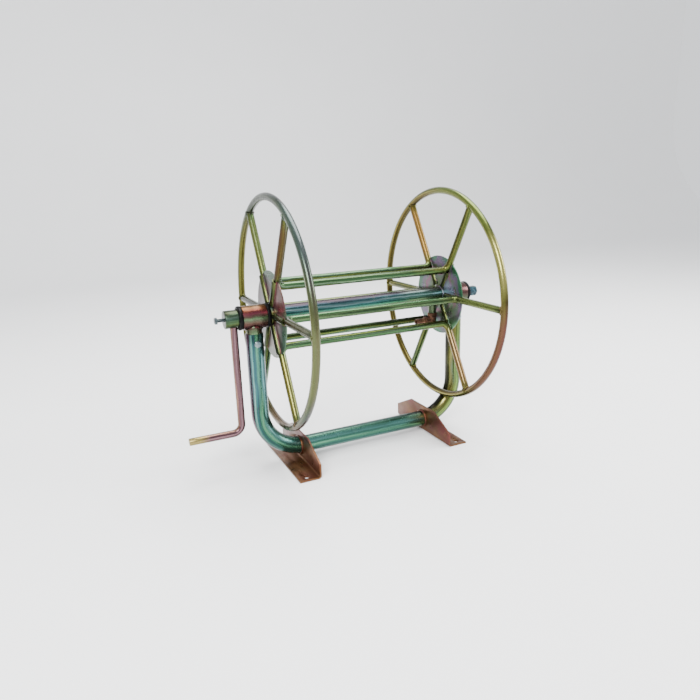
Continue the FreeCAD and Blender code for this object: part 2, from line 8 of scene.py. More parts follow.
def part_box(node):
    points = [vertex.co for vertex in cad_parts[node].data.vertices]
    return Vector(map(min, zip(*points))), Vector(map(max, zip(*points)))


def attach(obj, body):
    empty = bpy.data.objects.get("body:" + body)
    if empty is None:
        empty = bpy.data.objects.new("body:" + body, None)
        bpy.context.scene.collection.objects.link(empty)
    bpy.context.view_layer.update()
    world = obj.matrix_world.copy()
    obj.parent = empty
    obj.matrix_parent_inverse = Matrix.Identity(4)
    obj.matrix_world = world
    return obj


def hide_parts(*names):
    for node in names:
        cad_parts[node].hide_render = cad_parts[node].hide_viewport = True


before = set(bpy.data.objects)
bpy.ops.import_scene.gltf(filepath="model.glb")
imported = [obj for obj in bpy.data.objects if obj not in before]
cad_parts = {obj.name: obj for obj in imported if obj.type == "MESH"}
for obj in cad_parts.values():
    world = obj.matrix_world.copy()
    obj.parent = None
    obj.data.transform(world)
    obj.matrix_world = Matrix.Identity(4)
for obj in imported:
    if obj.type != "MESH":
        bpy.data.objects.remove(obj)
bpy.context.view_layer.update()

# ---------------------------------------------------------------- frame tube
# The U-shaped frame is one length of 38 mm steel tube, bent twice to a 95 mm radius, with its two
# open ends up. It is zinc plated and yellow passivated: a thin glassy film, blue-green and violet at
# the crank's side and yellow-green at the inlet's. Its colour runs in bands along the tube, with
# painted highlights and painted reflections in the light bands and painted shade at both edges.


def display(*steps):
    """A colour given in display steps of 0 to 255, as the linear colour that a shader takes."""
    return tuple((step / 255) ** 2.2 for step in steps) + (1.0,)


def link(tree, start, end):
    tree.links.new(start, end)


def add(tree, kind, **settings):
    node = tree.nodes.new(kind)
    for key, setting in settings.items():
        setattr(node, key, setting)
    return node


def arithmetic(tree, operation, first, second):
    """A maths node on two inputs, each a socket or a plain number."""
    node = add(tree, "ShaderNodeMath", operation=operation)
    for socket, source in zip(node.inputs, (first, second)):
        if isinstance(source, bpy.types.NodeSocket):
            link(tree, source, socket)
        else:
            socket.default_value = source
    return node.outputs[0]


def noise(tree, vector, scale, detail=3.0):
    node = add(tree, "ShaderNodeTexNoise")
    node.inputs["Scale"].default_value = scale
    node.inputs["Detail"].default_value = detail
    link(tree, vector, node.inputs["Vector"])
    return node.outputs["Fac"]


def ramp(tree, source, stops):
    node = add(tree, "ShaderNodeValToRGB")
    link(tree, source, node.inputs["Fac"])
    elements = node.color_ramp.elements
    while len(elements) < len(stops):
        elements.new(0.5)
    for element, (place, colour) in zip(elements, stops):
        element.position = place
        element.color = colour if len(colour) == 4 else display(*colour)
    return node.outputs["Color"]


def ranged(tree, source, low, high, out_low, out_high):
    node = add(tree, "ShaderNodeMapRange")
    link(tree, source, node.inputs["Value"])
    for name, number in (("From Min", low), ("From Max", high), ("To Min", out_low), ("To Max", out_high)):
        node.inputs[name].default_value = number
    return node.outputs["Result"]


def mixed(tree, factor, first, second, kind="MIX"):
    node = add(tree, "ShaderNodeMix", data_type="RGBA", blend_type=kind)
    for socket, source in ((node.inputs[0], factor), (node.inputs[6], first), (node.inputs[7], second)):
        if isinstance(source, bpy.types.NodeSocket):
            link(tree, source, socket)
        else:
            socket.default_value = source
    return node.outputs[2]


def new_material(name):
    material = bpy.data.materials.new(name)
    material.use_nodes = True
    tree = material.node_tree
    shader = tree.nodes["Principled BSDF"]
    place = add(tree, "ShaderNodeTexCoord").outputs["Object"]
    return material, tree, shader, place


def plated(name, bands, far_bands=None, turn=(-0.2, 0.2), patch=13.0, wander=0.35, metal=0.85,
           gloss=(0.20, 0.30), depth=0.62, painted_streaks=0.85, clouds=()):
    """Passivated zinc. bands lie across a piece from around = 0 to 1, far_bands take over along +X.

    The bands hold the film's hues together with painted highlights, painted reflections and painted shade.
    Each cloud is a patch of colour: its colour, its centre, its radius and its strength. Most are
    where the film came out thicker; some are painted highlights, painted reflections and painted shade.
    """
    material, tree, shader, place = new_material(name)
    across = add(tree, "ShaderNodeAttribute", attribute_name="around").outputs["Fac"]
    length = add(tree, "ShaderNodeAttribute", attribute_name="along").outputs["Fac"]
    patches = noise(tree, place, patch)
    shift = ranged(tree, patches, 0.3, 0.7, -wander, wander)
    position = arithmetic(tree, "ADD", across, shift)
    # The bands carry painted highlights, painted reflections and painted shade as well as the film's hues.
    colour = ramp(tree, position, bands)
    if far_bands:
        sideways = add(tree, "ShaderNodeSeparateXYZ")
        link(tree, place, sideways.inputs[0])
        uneven = ranged(tree, noise(tree, place, 5.0), 0.3, 0.7, -0.08, 0.08)
        reach = ranged(tree, arithmetic(tree, "ADD", sideways.outputs["X"], uneven), *turn, 0.0, 1.0)
        colour = mixed(tree, reach, colour, ramp(tree, position, far_bands))
    # Long light and dark streaks along the piece: painted reflection streaks, multiplied in by
    # painted_streaks.
    streak_place = add(tree, "ShaderNodeCombineXYZ")
    link(tree, arithmetic(tree, "MULTIPLY", across, 12.0), streak_place.inputs["X"])
    link(tree, arithmetic(tree, "MULTIPLY", length, 3.0), streak_place.inputs["Y"])
    streaks = noise(tree, streak_place.outputs[0], 1.6, 3.0)
    shade = ramp(tree, streaks, [(0.30, (96, 96, 96)), (0.48, (190, 190, 190)), (0.64, (255, 255, 255))])
    colour = mixed(tree, painted_streaks, colour, shade, "MULTIPLY")
    # Clouds: thicker film in most places, painted highlights, painted reflections and painted shade in some.
    for tint, centre, radius, strength in clouds:
        distance = add(tree, "ShaderNodeVectorMath", operation="DISTANCE")
        link(tree, place, distance.inputs[0])
        distance.inputs[1].default_value = centre
        reach = ranged(tree, distance.outputs["Value"], radius, radius * 0.55, 0.0, strength)
        colour = mixed(tree, reach, colour, display(*tint))
    stains = ranged(tree, noise(tree, place, 60.0, 3.0), 0.62, 0.75, 0.0, 0.22)
    colour = mixed(tree, stains, colour, display(96, 78, 58))
    colour = mixed(tree, 1.0, colour, (depth, depth, depth, 1.0), "MULTIPLY")
    link(tree, colour, shader.inputs["Base Color"])
    link(tree, ranged(tree, noise(tree, place, 60.0, 4.0), 0.3, 0.7, *gloss), shader.inputs["Roughness"])
    shader.inputs["Metallic"].default_value = metal
    bump = add(tree, "ShaderNodeBump")
    bump.inputs["Strength"].default_value = 0.05
    bump.inputs["Distance"].default_value = 0.0006
    link(tree, noise(tree, place, 160.0, 3.0), bump.inputs["Height"])
    link(tree, bump.outputs[0], shader.inputs["Normal"])
    return material


def finish_mesh(name, vertices, faces, material, body, nodes=(), around=None, along=None):
    """A smooth mesh object that rides on a body, with how far round and how far along each point is."""
    mesh = bpy.data.meshes.new(name)
    mesh.from_pydata([tuple(point) for point in vertices], [], faces)
    mesh.shade_smooth()
    for label, numbers in (("around", around), ("along", along)):
        layer = mesh.attributes.new(label, "FLOAT", "POINT")
        layer.data.foreach_set("value", list(numbers) if numbers else [0.5] * len(vertices))
    mesh.materials.append(material)
    piece = bpy.data.objects.new(name, mesh)
    bpy.context.scene.collection.objects.link(piece)
    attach(piece, body)
    if nodes:
        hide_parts(*nodes)
    return piece


def ring_faces(rings, sides, closed):
    """The faces between rings of points that follow one another, and back to the first if closed."""
    faces = []
    for ring in range(rings if closed else rings - 1):
        following = (ring + 1) % rings
        for side in range(sides):
            beside = (side + 1) % sides
            faces.append((ring * sides + side, ring * sides + beside, following * sides + beside,
                          following * sides + side))
    return faces


def tube(name, path, radius, flat, material, body, nodes=(), closed=False, bore=0.0, sides=32,
         ease=0.0008):
    """A round rod or tube along a flat path. flat is the normal of the plane that the path lies in."""
    stations = []
    count = len(path)
    for index, point in enumerate(path):
        before = path[index - 1] if closed or index else point
        after = path[(index + 1) % count] if closed or index < count - 1 else point
        stations.append((point, (after - before).normalized(), radius))
    if not closed:
        first, last = stations[0], stations[-1]
        ends = []
        for quarter in (0.0, 0.35, 0.75):
            inset = ease * (1 - math.sqrt(1 - (1 - quarter) ** 2))
            ends.append((ease * quarter, radius - inset))
        heads = [(first[0] + first[1] * far, first[1], wide) for far, wide in ends]
        tails = [(last[0] - last[1] * far, last[1], wide) for far, wide in reversed(ends)]
        inner = [(first[0], first[1], bore)] if bore else []
        outer = [(last[0], last[1], bore)] if bore else []
        stations = inner + heads + stations[1:-1] + tails + outer
    vertices, around, along = [], [], []
    travelled = 0.0
    for index, (point, direction, wide) in enumerate(stations):
        if index:
            travelled += (point - stations[index - 1][0]).length
        outwards = direction.cross(flat)
        for side in range(sides):
            angle = 2 * math.pi * side / sides
            vertices.append(point + outwards * (wide * math.cos(angle)) + flat * (wide * math.sin(angle)))
            around.append(min(angle, 2 * math.pi - angle) / math.pi)
            along.append(travelled)
    rings = len(stations)
    faces = ring_faces(rings, sides, closed)
    if not closed and not bore:
        faces.append(tuple(reversed(range(sides))))
        faces.append(tuple((rings - 1) * sides + side for side in range(sides)))
    return finish_mesh(name, vertices, faces, material, body, nodes, around, along)


def bent_path(corners, bend, turns=14):
    """The points of a path through corners, rounded at each corner by one bend radius."""
    straight_piece = 0.024
    points = [corners[0]]
    for before, corner, after in zip(corners, corners[1:], corners[2:]):
        back = (before - corner).normalized()
        ahead = (after - corner).normalized()
        centre = corner + (back + ahead) * bend
        start = corner + back * bend
        stretch = (start - points[-1]).length
        pieces = max(2, int(stretch / straight_piece))
        last = points[-1]
        points += [last.lerp(start, piece / pieces) for piece in range(1, pieces + 1)]
        for turn in range(1, turns + 1):
            angle = math.pi / 2 * turn / turns
            points.append(centre - ahead * (bend * math.cos(angle)) - back * (bend * math.sin(angle)))
    last = points[-1]
    pieces = max(2, int((corners[-1] - last).length / straight_piece))
    points += [last.lerp(corners[-1], piece / pieces) for piece in range(1, pieces + 1)]
    return points


frame_low, frame_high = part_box("frame_tube")
frame_radius = frame_high.y
frame_bore = 0.017
frame_bend = 0.095
upright_x = frame_high.x - frame_radius
floor_run_z = frame_low.z + frame_radius
upright_top = frame_high.z
# Light bands are painted highlights and painted reflections, the dark edge bands painted shade.
frame_steel = plated(
    "yellow_passivated_frame_tube",
    [(0.00, (44, 30, 40)), (0.08, (116, 76, 100)), (0.14, (150, 112, 134)), (0.19, (64, 92, 90)),
     (0.25, (146, 200, 190)), (0.31, (60, 122, 112)), (0.37, (54, 74, 92)), (0.44, (72, 136, 104)),
     (0.50, (118, 182, 136)), (0.57, (56, 112, 96)), (0.65, (124, 184, 182)), (0.73, (62, 104, 108)),
     (0.82, (80, 124, 96)), (0.92, (72, 54, 66)), (1.00, (40, 30, 38))],
    [(0.00, (40, 32, 24)), (0.12, (150, 118, 88)), (0.20, (92, 92, 44)), (0.30, (156, 160, 80)),
     (0.40, (84, 120, 62)), (0.50, (140, 166, 84)), (0.62, (96, 104, 50)), (0.74, (166, 160, 88)),
     (0.88, (84, 84, 44)), (1.00, (26, 28, 18))],
    turn=(0.08, 0.24), patch=9.0, wander=0.07,
    clouds=[((84, 142, 124), (-0.06, 0, 0.032), 0.24, 0.42),
            ((96, 150, 160), (-0.252, 0, 0.220), 0.08, 0.25)])
frame_path = bent_path([Vector((-upright_x, 0, upright_top)), Vector((-upright_x, 0, floor_run_z)),
                        Vector((upright_x, 0, floor_run_z)), Vector((upright_x, 0, upright_top))],
                       frame_bend)
tube("frame_tube_formed", frame_path, frame_radius, Vector((0, -1, 0)), frame_steel, "frame",
     ["frame_tube"], bore=frame_bore, sides=48)

# ---------------------------------------------------------------- feet
# Two angle feet, folded from 4 mm plate and sheared to a sloping web. The tube passes through the
# web and is welded to it on both faces. The plating is browner here, with green and magenta patches.


def softened(node, name, ease, material, body, around, steps=2):
    """The node's own shape with its sharp edges eased, and how far across the bands each point lies."""
    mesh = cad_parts[node].data.copy()
    mesh.name = name
    mesh.materials.clear()
    mesh.materials.append(material)
    shell = bmesh.new()
    shell.from_mesh(mesh)
    bmesh.ops.remove_doubles(shell, verts=shell.verts, dist=0.00001)
    bmesh.ops.dissolve_limit(shell, angle_limit=math.radians(0.5), verts=shell.verts, edges=shell.edges)
    sharp = [edge for edge in shell.edges
             if len(edge.link_faces) == 2 and edge.calc_face_angle(0.0) > math.radians(40)]
    bmesh.ops.bevel(shell, geom=sharp, offset=ease, segments=steps, profile=0.6, affect="EDGES",
                    clamp_overlap=True)
    shell.to_mesh(mesh)
    shell.free()
    for layer_name in [layer.name for layer in mesh.attributes if layer.name == "custom_normal"]:
        mesh.attributes.remove(mesh.attributes[layer_name])
    mesh.shade_smooth()
    mesh.set_sharp_from_angle(angle=math.radians(32))
    layer = mesh.attributes.new("around", "FLOAT", "POINT")
    layer.data.foreach_set("value", [around(vertex.co) for vertex in mesh.vertices])
    layer = mesh.attributes.new("along", "FLOAT", "POINT")
    layer.data.foreach_set("value", [vertex.co.length for vertex in mesh.vertices])
    piece = bpy.data.objects.new(name, mesh)
    bpy.context.scene.collection.objects.link(piece)
    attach(piece, body)
    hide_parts(node)
    return piece


def weld(name, points, size, flat, material, body):
    """A closed weld bead through points, laid down in small overlapping ripples."""
    count = len(points)
    sides = 10
    vertices, around, along = [], [], []
    for index, point in enumerate(points):
        direction = (points[(index + 1) % count] - points[index - 1]).normalized()
        outwards = direction.cross(flat).normalized()
        upwards = outwards.cross(direction)
        ripple = size * (0.86 + 0.14 * abs(math.sin(index * 1.26)))
        for side in range(sides):
            angle = 2 * math.pi * side / sides
            vertices.append(point + outwards * (ripple * math.cos(angle))
                            + upwards * (ripple * math.sin(angle)))
            around.append(0.5 + 0.3 * math.sin(index * 0.37))
            along.append(index * 0.002)
    faces = ring_faces(count, sides, True)
    return finish_mesh(name, vertices, faces, material, body, (), around, along)


def circle(centre, first, second, radius, steps=72):
    """Points round a circle in the plane of two directions."""
    turns = (2 * math.pi * step / steps for step in range(steps))
    return [centre + first * (radius * math.cos(turn)) + second * (radius * math.sin(turn)) for turn in turns]


foot_steel = plated(
    "yellow_passivated_foot_plate",
    [(0.00, (104, 60, 44)), (0.22, (128, 78, 56)), (0.38, (138, 96, 62)), (0.50, (118, 80, 58)),
     (0.62, (128, 70, 66)), (0.80, (112, 70, 52)), (1.00, (96, 84, 68))],
    patch=17.0, wander=0.24, metal=0.8, gloss=(0.26, 0.40), depth=0.56, painted_streaks=0.2)
for side_name, side in (("left", -1), ("right", 1)):
    node = f"foot_{side_name}"
    foot_low, foot_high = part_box(node)
    softened(node, f"{node}_folded", 0.0006, foot_steel, "frame",
             lambda point: 0.2 + 5.0 * point.z + 1.2 * abs(point.y))
    web_x = foot_low.x if side > 0 else foot_high.x
    for face, offset in (("inner", 0.0004), ("outer", -0.0044)):
        ring = circle(Vector((web_x - side * offset, 0, floor_run_z)), Vector((0, 1, 0)), Vector((0, 0, 1)),
                      frame_radius + 0.0012)
        weld(f"{node}_weld_{face}", ring, 0.0028, Vector((1, 0, 0)), foot_steel, "frame")

# ---------------------------------------------------------------- bearing housings
# A length of thick tube lies across the top of each upright. A stub welded under it slips down
# into the upright, where the lock bolt holds it. The film on these is orange and red, with a green
# painted highlight along the middle and painted shade on the underside.

# The green band is a painted highlight and the dark last bands are painted shade on the underside.
housing_steel = plated(
    "yellow_passivated_housing",
    [(0.00, (140, 100, 54)), (0.16, (138, 78, 58)), (0.30, (132, 62, 78)), (0.42, (116, 96, 84)),
     (0.50, (124, 158, 112)), (0.60, (108, 116, 92)), (0.72, (116, 88, 76)), (0.86, (98, 54, 54)),
     (1.00, (60, 38, 38))],
    [(0.00, (96, 70, 60)), (0.30, (118, 78, 78)), (0.50, (92, 74, 66)), (0.70, (80, 92, 66)),
     (1.00, (50, 40, 34))],
    patch=22.0, wander=0.09, metal=0.82, depth=0.56, painted_streaks=0.5)
housing_low, housing_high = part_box("bearing_housing_left")
axle_z = (housing_low.z + housing_high.z) / 2
housing_radius = 0.025
stub_bead_radius = 0.0176
for side_name, side in (("left", -1), ("right", 1)):
    node = f"bearing_housing_{side_name}"
    softened(node, f"{node}_turned", 0.0010, housing_steel, "frame",
             lambda point: 0.5 - 0.5 * (point.z - axle_z) / housing_radius)
    stub = f"housing_stub_{side_name}"
    softened(stub, f"{stub}_cut", 0.0004, housing_steel, "frame",
             lambda point: 0.35 + 0.3 * (axle_z - point.z) / 0.08)
    saddle = []
    for step in range(60):
        angle = 2 * math.pi * step / 60
        across = stub_bead_radius * math.sin(angle)
        drop = math.sqrt((housing_radius + 0.0004) ** 2 - across ** 2) + 0.0004
        saddle.append(Vector((side * upright_x + stub_bead_radius * math.cos(angle), across, axle_z - drop)))
    weld(f"{stub}_weld", saddle, 0.0020, Vector((0, 0, 1)), housing_steel, "frame")

# ---------------------------------------------------------------- bushes
# Black nylon bushes with a thick rounded flange, pushed into each housing from both ends. The axle
# turns in them. Satin, with a little pale dust.

nylon, tree, shader, place = new_material("black_nylon_bush")
dust = ranged(tree, noise(tree, place, 70.0, 5.0), 0.45, 0.75, 0.0, 0.5)
link(tree, mixed(tree, dust, display(4, 4, 5), display(15, 15, 15)), shader.inputs["Base Color"])
link(tree, ranged(tree, noise(tree, place, 140.0), 0.3, 0.7, 0.34, 0.52), shader.inputs["Roughness"])
shader.inputs["Specular IOR Level"].default_value = 0.12
bump = add(tree, "ShaderNodeBump")
bump.inputs["Strength"].default_value = 0.15
bump.inputs["Distance"].default_value = 0.0003
link(tree, noise(tree, place, 900.0), bump.inputs["Height"])
link(tree, bump.outputs[0], shader.inputs["Normal"])
for side_name in ("left", "right"):
    for end in ("outer", "inner"):
        node = f"bush_{end}_{side_name}"
        softened(node, f"{node}_moulded", 0.0008, nylon, "frame", lambda point: 0.5, steps=3)

# ---------------------------------------------------------------- bolts
# M8 hexagon bolts in bright bluish zinc: one locks each housing in its upright, and one in the
# axle's end holds the crank. Their threads are rolled, and the heads are chamfered.


def hexagon_radius(angle, flats):
    folded = (angle + math.pi / 6) % (math.pi / 3) - math.pi / 6
    return flats / 2 / math.cos(folded)


def spun(name, rows, place, material, body, nodes):
    """A closed shape about its own Z axis. Each row is a height and a radius at each angle."""
    sides = 72
    vertices, along = [], []
    for height, radius in rows:
        for side in range(sides):
            angle = 2 * math.pi * side / sides
            wide = radius(angle) if callable(radius) else radius
            vertices.append(place @ Vector((wide * math.cos(angle), wide * math.sin(angle), height)))
            along.append(height)
    faces = [tuple(reversed(range(sides)))] + ring_faces(len(rows), sides, False)
    faces.append(tuple((len(rows) - 1) * sides + side for side in range(sides)))
    piece = finish_mesh(name, vertices, faces, material, body, nodes, along=along)
    piece.data.set_sharp_from_angle(angle=math.radians(25))
    return piece


def chamfered_head(flats, low, high):
    """Rows of a hexagon whose corners are turned off by a 30 degree cone at its far end."""
    rows = [(low, flats * 0.48), (low + 0.0002, flats * 0.48)]
    rows.append((low + 0.00022, lambda angle: hexagon_radius(angle, flats)))
    steps = 8
    drop = flats * 0.5 * (2 / math.sqrt(3) - 0.95) * math.tan(math.radians(30))
    for step in range(steps + 1):
        depth = drop * (1 - step / steps)
        cone = flats * 0.475 + depth / math.tan(math.radians(30))
        rows.append((high - depth, lambda angle, cone=cone: min(hexagon_radius(angle, flats), cone)))
    return rows


def thread_rows(low, high, radius, pitch=0.00125):
    """Rows of a rolled thread, whose crest climbs one pitch in each turn."""
    depth = pitch * 0.54
    rows = []
    count = int((high - low) / pitch * 8)
    for row in range(count + 1):
        height = low + (high - low) * row / count
        rows.append((height, lambda angle, height=height:
                     radius - depth * abs(2 * ((height / pitch - angle / 2 / math.pi) % 1) - 1)))
    return rows


def small_metal(name, dark, middle, light):
    """A small turned piece in bare or clear-plated metal: a mottled tone, fine bumps and no bands."""
    material, tree, shader, place = new_material(name)
    tone = ramp(tree, noise(tree, place, 90.0, 4.0), [(0.30, dark), (0.52, middle), (0.75, light)])
    link(tree, tone, shader.inputs["Base Color"])
    link(tree, ranged(tree, noise(tree, place, 260.0), 0.3, 0.7, 0.22, 0.42), shader.inputs["Roughness"])
    shader.inputs["Metallic"].default_value = 0.9
    bump = add(tree, "ShaderNodeBump")
    bump.inputs["Strength"].default_value = 0.12
    bump.inputs["Distance"].default_value = 0.0003
    link(tree, noise(tree, place, 700.0), bump.inputs["Height"])
    link(tree, bump.outputs[0], shader.inputs["Normal"])
    return material


bright_zinc = small_metal("bright_zinc_fasteners", (60, 70, 76), (110, 124, 130), (150, 160, 160))
crank_bolt_zinc = small_metal("grey_zinc_crank_bolt", (44, 52, 54), (84, 94, 96), (124, 132, 130))

bolt_flats = 0.013
head_height = 0.0055
seat_gap = 0.0003
lock_low, lock_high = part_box("lock_bolts")
lock_z = (lock_low.z + lock_high.z) / 2
lock_rows = thread_rows(-0.014, -seat_gap, 0.0039) + chamfered_head(bolt_flats, 0.0, head_height)
for side_name, side in (("left", -1), ("right", 1)):
    seat = Matrix.Translation((side * upright_x, -frame_radius - seat_gap, lock_z))
    towards_front = (seat @ Matrix.Rotation(math.radians(90), 4, "X")
                     @ Matrix.Rotation(math.radians(17 * side), 4, "Z"))
    spun(f"lock_bolt_{side_name}", lock_rows, towards_front, bright_zinc, "frame",
         ["lock_bolts"])
crank_bolt_low, crank_bolt_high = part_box("crank_bolt")
head_x = crank_bolt_low.x + head_height
towards_left = Matrix.Translation((head_x, 0, axle_z)) @ Matrix.Rotation(math.radians(-90), 4, "Y")
crank_bolt_rows = thread_rows(head_x - crank_bolt_high.x, -seat_gap, 0.0040)
crank_bolt_rows += chamfered_head(bolt_flats, 0.0, head_height)
spun("crank_bolt_head_and_thread", crank_bolt_rows, towards_left, crank_bolt_zinc, "reel",
     ["crank_bolt"])

# ---------------------------------------------------------------- axle
# The reel turns on one 38 mm tube that runs through both flanges and both housings. Its left end
# is closed by a steel plug, drilled for the crank rod. Violet-grey above, then a thin painted
# highlight line, blue-green below it, darkening to painted shade underneath.

# The pale band at 0.38 is a painted highlight line and the dark bottom bands painted shade; the two clouds
# darken the left end.
axle_steel = plated(
    "yellow_passivated_axle",
    [(0.00, (40, 30, 36)), (0.12, (66, 48, 58)), (0.20, (58, 54, 68)), (0.27, (60, 92, 100)),
     (0.33, (78, 124, 124)), (0.38, (170, 206, 210)), (0.42, (80, 136, 136)), (0.50, (60, 118, 104)),
     (0.57, (76, 136, 96)), (0.63, (128, 142, 80)), (0.68, (64, 104, 66)), (0.78, (46, 78, 50)),
     (1.00, (22, 36, 26))],
    [(0.00, (150, 142, 120)), (0.22, (150, 176, 166)), (0.34, (70, 120, 96)), (0.46, (120, 156, 120)),
     (0.60, (140, 134, 74)), (0.80, (70, 84, 46)), (1.00, (40, 44, 28))],
    turn=(0.08, 0.24), patch=8.0, wander=0.06,
    clouds=[((70, 84, 52), (-0.305, 0, 0.340), 0.050, 0.7),
            ((40, 44, 36), (-0.316, 0, 0.340), 0.022, 0.8)])
axle_low, axle_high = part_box("drum_tube")
axle_radius = axle_high.y
axle_bore = 0.0165
axle_steps = 40
axle_path = [Vector((axle_low.x + (axle_high.x - axle_low.x) * step / axle_steps, 0, axle_z))
             for step in range(axle_steps + 1)]
tube("axle_tube", axle_path, axle_radius, Vector((0, 1, 0)), axle_steel, "reel",
     ["drum_tube"], bore=axle_bore, sides=48, ease=0.0012)
softened("crank_plug", "crank_plug_turned", 0.0008, axle_steel, "reel",
         lambda point: 0.5 - 0.5 * (point.z - axle_z) / axle_bore)

# ---------------------------------------------------------------- flange rings
# The rim of each flange is one 16 mm rod rolled into a hoop and butt welded. Silver-green and gold
# on the crank's side, gold to copper on the inlet's side, with a painted highlight along the middle
# of the rod, painted shade at its edges and a painted yellow highlight on the inlet ring's upper front.

# Middle bands are a painted highlight line, the end bands painted shade at the rod's edges.
ring_steel = plated(
    "yellow_passivated_rings",
    [(0.00, (104, 94, 98)), (0.18, (92, 108, 92)), (0.34, (112, 124, 92)), (0.44, (128, 140, 100)),
     (0.51, (196, 204, 168)), (0.58, (112, 132, 104)), (0.74, (96, 104, 62)), (0.88, (124, 124, 74)),
     (1.00, (44, 46, 28))],
    [(0.00, (60, 62, 32)), (0.16, (126, 122, 54)), (0.32, (108, 118, 50)), (0.43, (140, 136, 58)),
     (0.50, (214, 204, 118)), (0.58, (140, 120, 58)), (0.74, (104, 92, 42)), (0.88, (116, 106, 50)),
     (1.00, (32, 30, 18))],
    turn=(-0.02, 0.02), patch=6.0, wander=0.10, depth=0.56,
    clouds=[((44, 54, 46), (-0.208, 0.02, 0.585), 0.15, 0.75),
            ((88, 108, 106), (-0.208, -0.16, 0.520), 0.10, 0.5),
            ((140, 104, 80), (-0.208, -0.05, 0.100), 0.13, 0.6),
            ((118, 112, 44), (-0.208, 0.22, 0.360), 0.21, 0.6),
            ((120, 122, 66), (-0.208, -0.24, 0.300), 0.14, 0.5),
            ((112, 66, 60), (0.208, -0.21, 0.230), 0.15, 0.75),
            # A painted yellow highlight on the upper front of the inlet's ring.
            ((196, 190, 110), (0.208, -0.21, 0.430), 0.08, 0.7),
            ((120, 140, 70), (0.208, -0.10, 0.570), 0.15, 0.6)])
ring_low, ring_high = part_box("flange_ring_right")
rod_radius = (ring_high.x - ring_low.x) / 2
ring_x = ring_high.x - rod_radius
ring_radius = ring_high.y - rod_radius
for side_name, side in (("left", -1), ("right", 1)):
    hoop = circle(Vector((side * ring_x, 0, axle_z)), Vector((0, 0, 1)), Vector((0, -1, 0)), ring_radius, 180)
    tube(f"flange_hoop_{side_name}", hoop, rod_radius, Vector((1, 0, 0)), ring_steel, "reel",
         [f"flange_ring_{side_name}"], closed=True, sides=24)

# ---------------------------------------------------------------- drum bars and spokes
# Six 16 mm rods are each bent like a staple. The level run is a bar of the drum, and the two ends
# are spokes, cut to a saddle and welded to the rings. Green with painted yellow highlight lines and
# painted shade along the inner side, gold at the ends.

# The yellow lines are painted highlights and the dark last band painted shade on the inner side.
bar_steel = plated(
    "yellow_passivated_bars",
    [(0.00, (64, 92, 60)), (0.14, (116, 146, 98)), (0.26, (76, 120, 78)), (0.38, (92, 136, 86)),
     (0.47, (132, 160, 126)), (0.56, (64, 106, 80)), (0.66, (120, 132, 62)), (0.78, (70, 98, 52)),
     (1.00, (36, 46, 28))],
    [(0.00, (94, 92, 36)), (0.16, (168, 162, 70)), (0.30, (100, 118, 50)), (0.46, (136, 146, 58)),
     (0.62, (72, 78, 34)), (0.78, (150, 124, 60)), (1.00, (28, 28, 16))],
    turn=(0.12, 0.24), patch=8.0, wander=0.14, depth=0.60,
    clouds=[((168, 122, 66), (0.208, 0.08, 0.479), 0.085, 0.7),
            ((70, 76, 40), (0.208, -0.08, 0.479), 0.085, 0.6),
            ((136, 102, 72), (0.208, -0.08, 0.201), 0.085, 0.7),
            ((124, 136, 66), (0.208, -0.16, 0.340), 0.085, 0.6),
            ((88, 58, 34), (-0.208, -0.08, 0.479), 0.085, 0.7),
            ((70, 60, 60), (-0.208, 0.16, 0.340), 0.085, 0.6),
            ((88, 86, 50), (-0.208, -0.16, 0.340), 0.085, 0.7),
            ((132, 122, 58), (-0.208, -0.08, 0.201), 0.085, 0.6),
            ((140, 144, 74), (-0.208, 0.08, 0.479), 0.085, 0.5)])
drum_radius = 0.073
bar_bend = 0.017
axle = Vector((0, 0, axle_z))


def spoke_directions(number):
    """The way out along a numbered spoke, and the way across it."""
    angle = math.radians(30 + 60 * (number - 1))
    return Vector((0, -math.sin(angle), math.cos(angle))), Vector((0, math.cos(angle), math.sin(angle)))


for number in range(1, 7):
    outwards, sideways = spoke_directions(number)
    corners = [axle + outwards * reach + Vector((x, 0, 0)) for x, reach in (
        (-ring_x, ring_radius), (-ring_x, drum_radius), (ring_x, drum_radius), (ring_x, ring_radius))]
    tube(f"drum_bar_{number}_bent", bent_path(corners, bar_bend, turns=10), rod_radius, sideways,
         bar_steel, "reel", [f"drum_bar_{number}"], sides=24)
    for side_name, side in (("left", -1), ("right", 1)):
        saddle = []
        for step in range(36):
            turn = 2 * math.pi * step / 36
            wide = rod_radius + 0.0006
            drop = wide * abs(math.cos(turn)) + 0.0004
            saddle.append(axle + outwards * (ring_radius - drop) + sideways * (wide * math.cos(turn))
                          + Vector((side * ring_x + wide * math.sin(turn), 0, 0)))
        weld(f"ring_weld_{side_name}_{number}", saddle, 0.0019, outwards, ring_steel, "reel")

# ---------------------------------------------------------------- flange discs
# A 3 mm disc ties the spokes to the axle at each end. It is notched round the spokes and slotted
# for six short rods that carry each spoke's line in to the axle. Mauve and magenta, teal at the rim,
# with a painted shadow by the crank side's hub and painted reflections by the inlet side's hub.

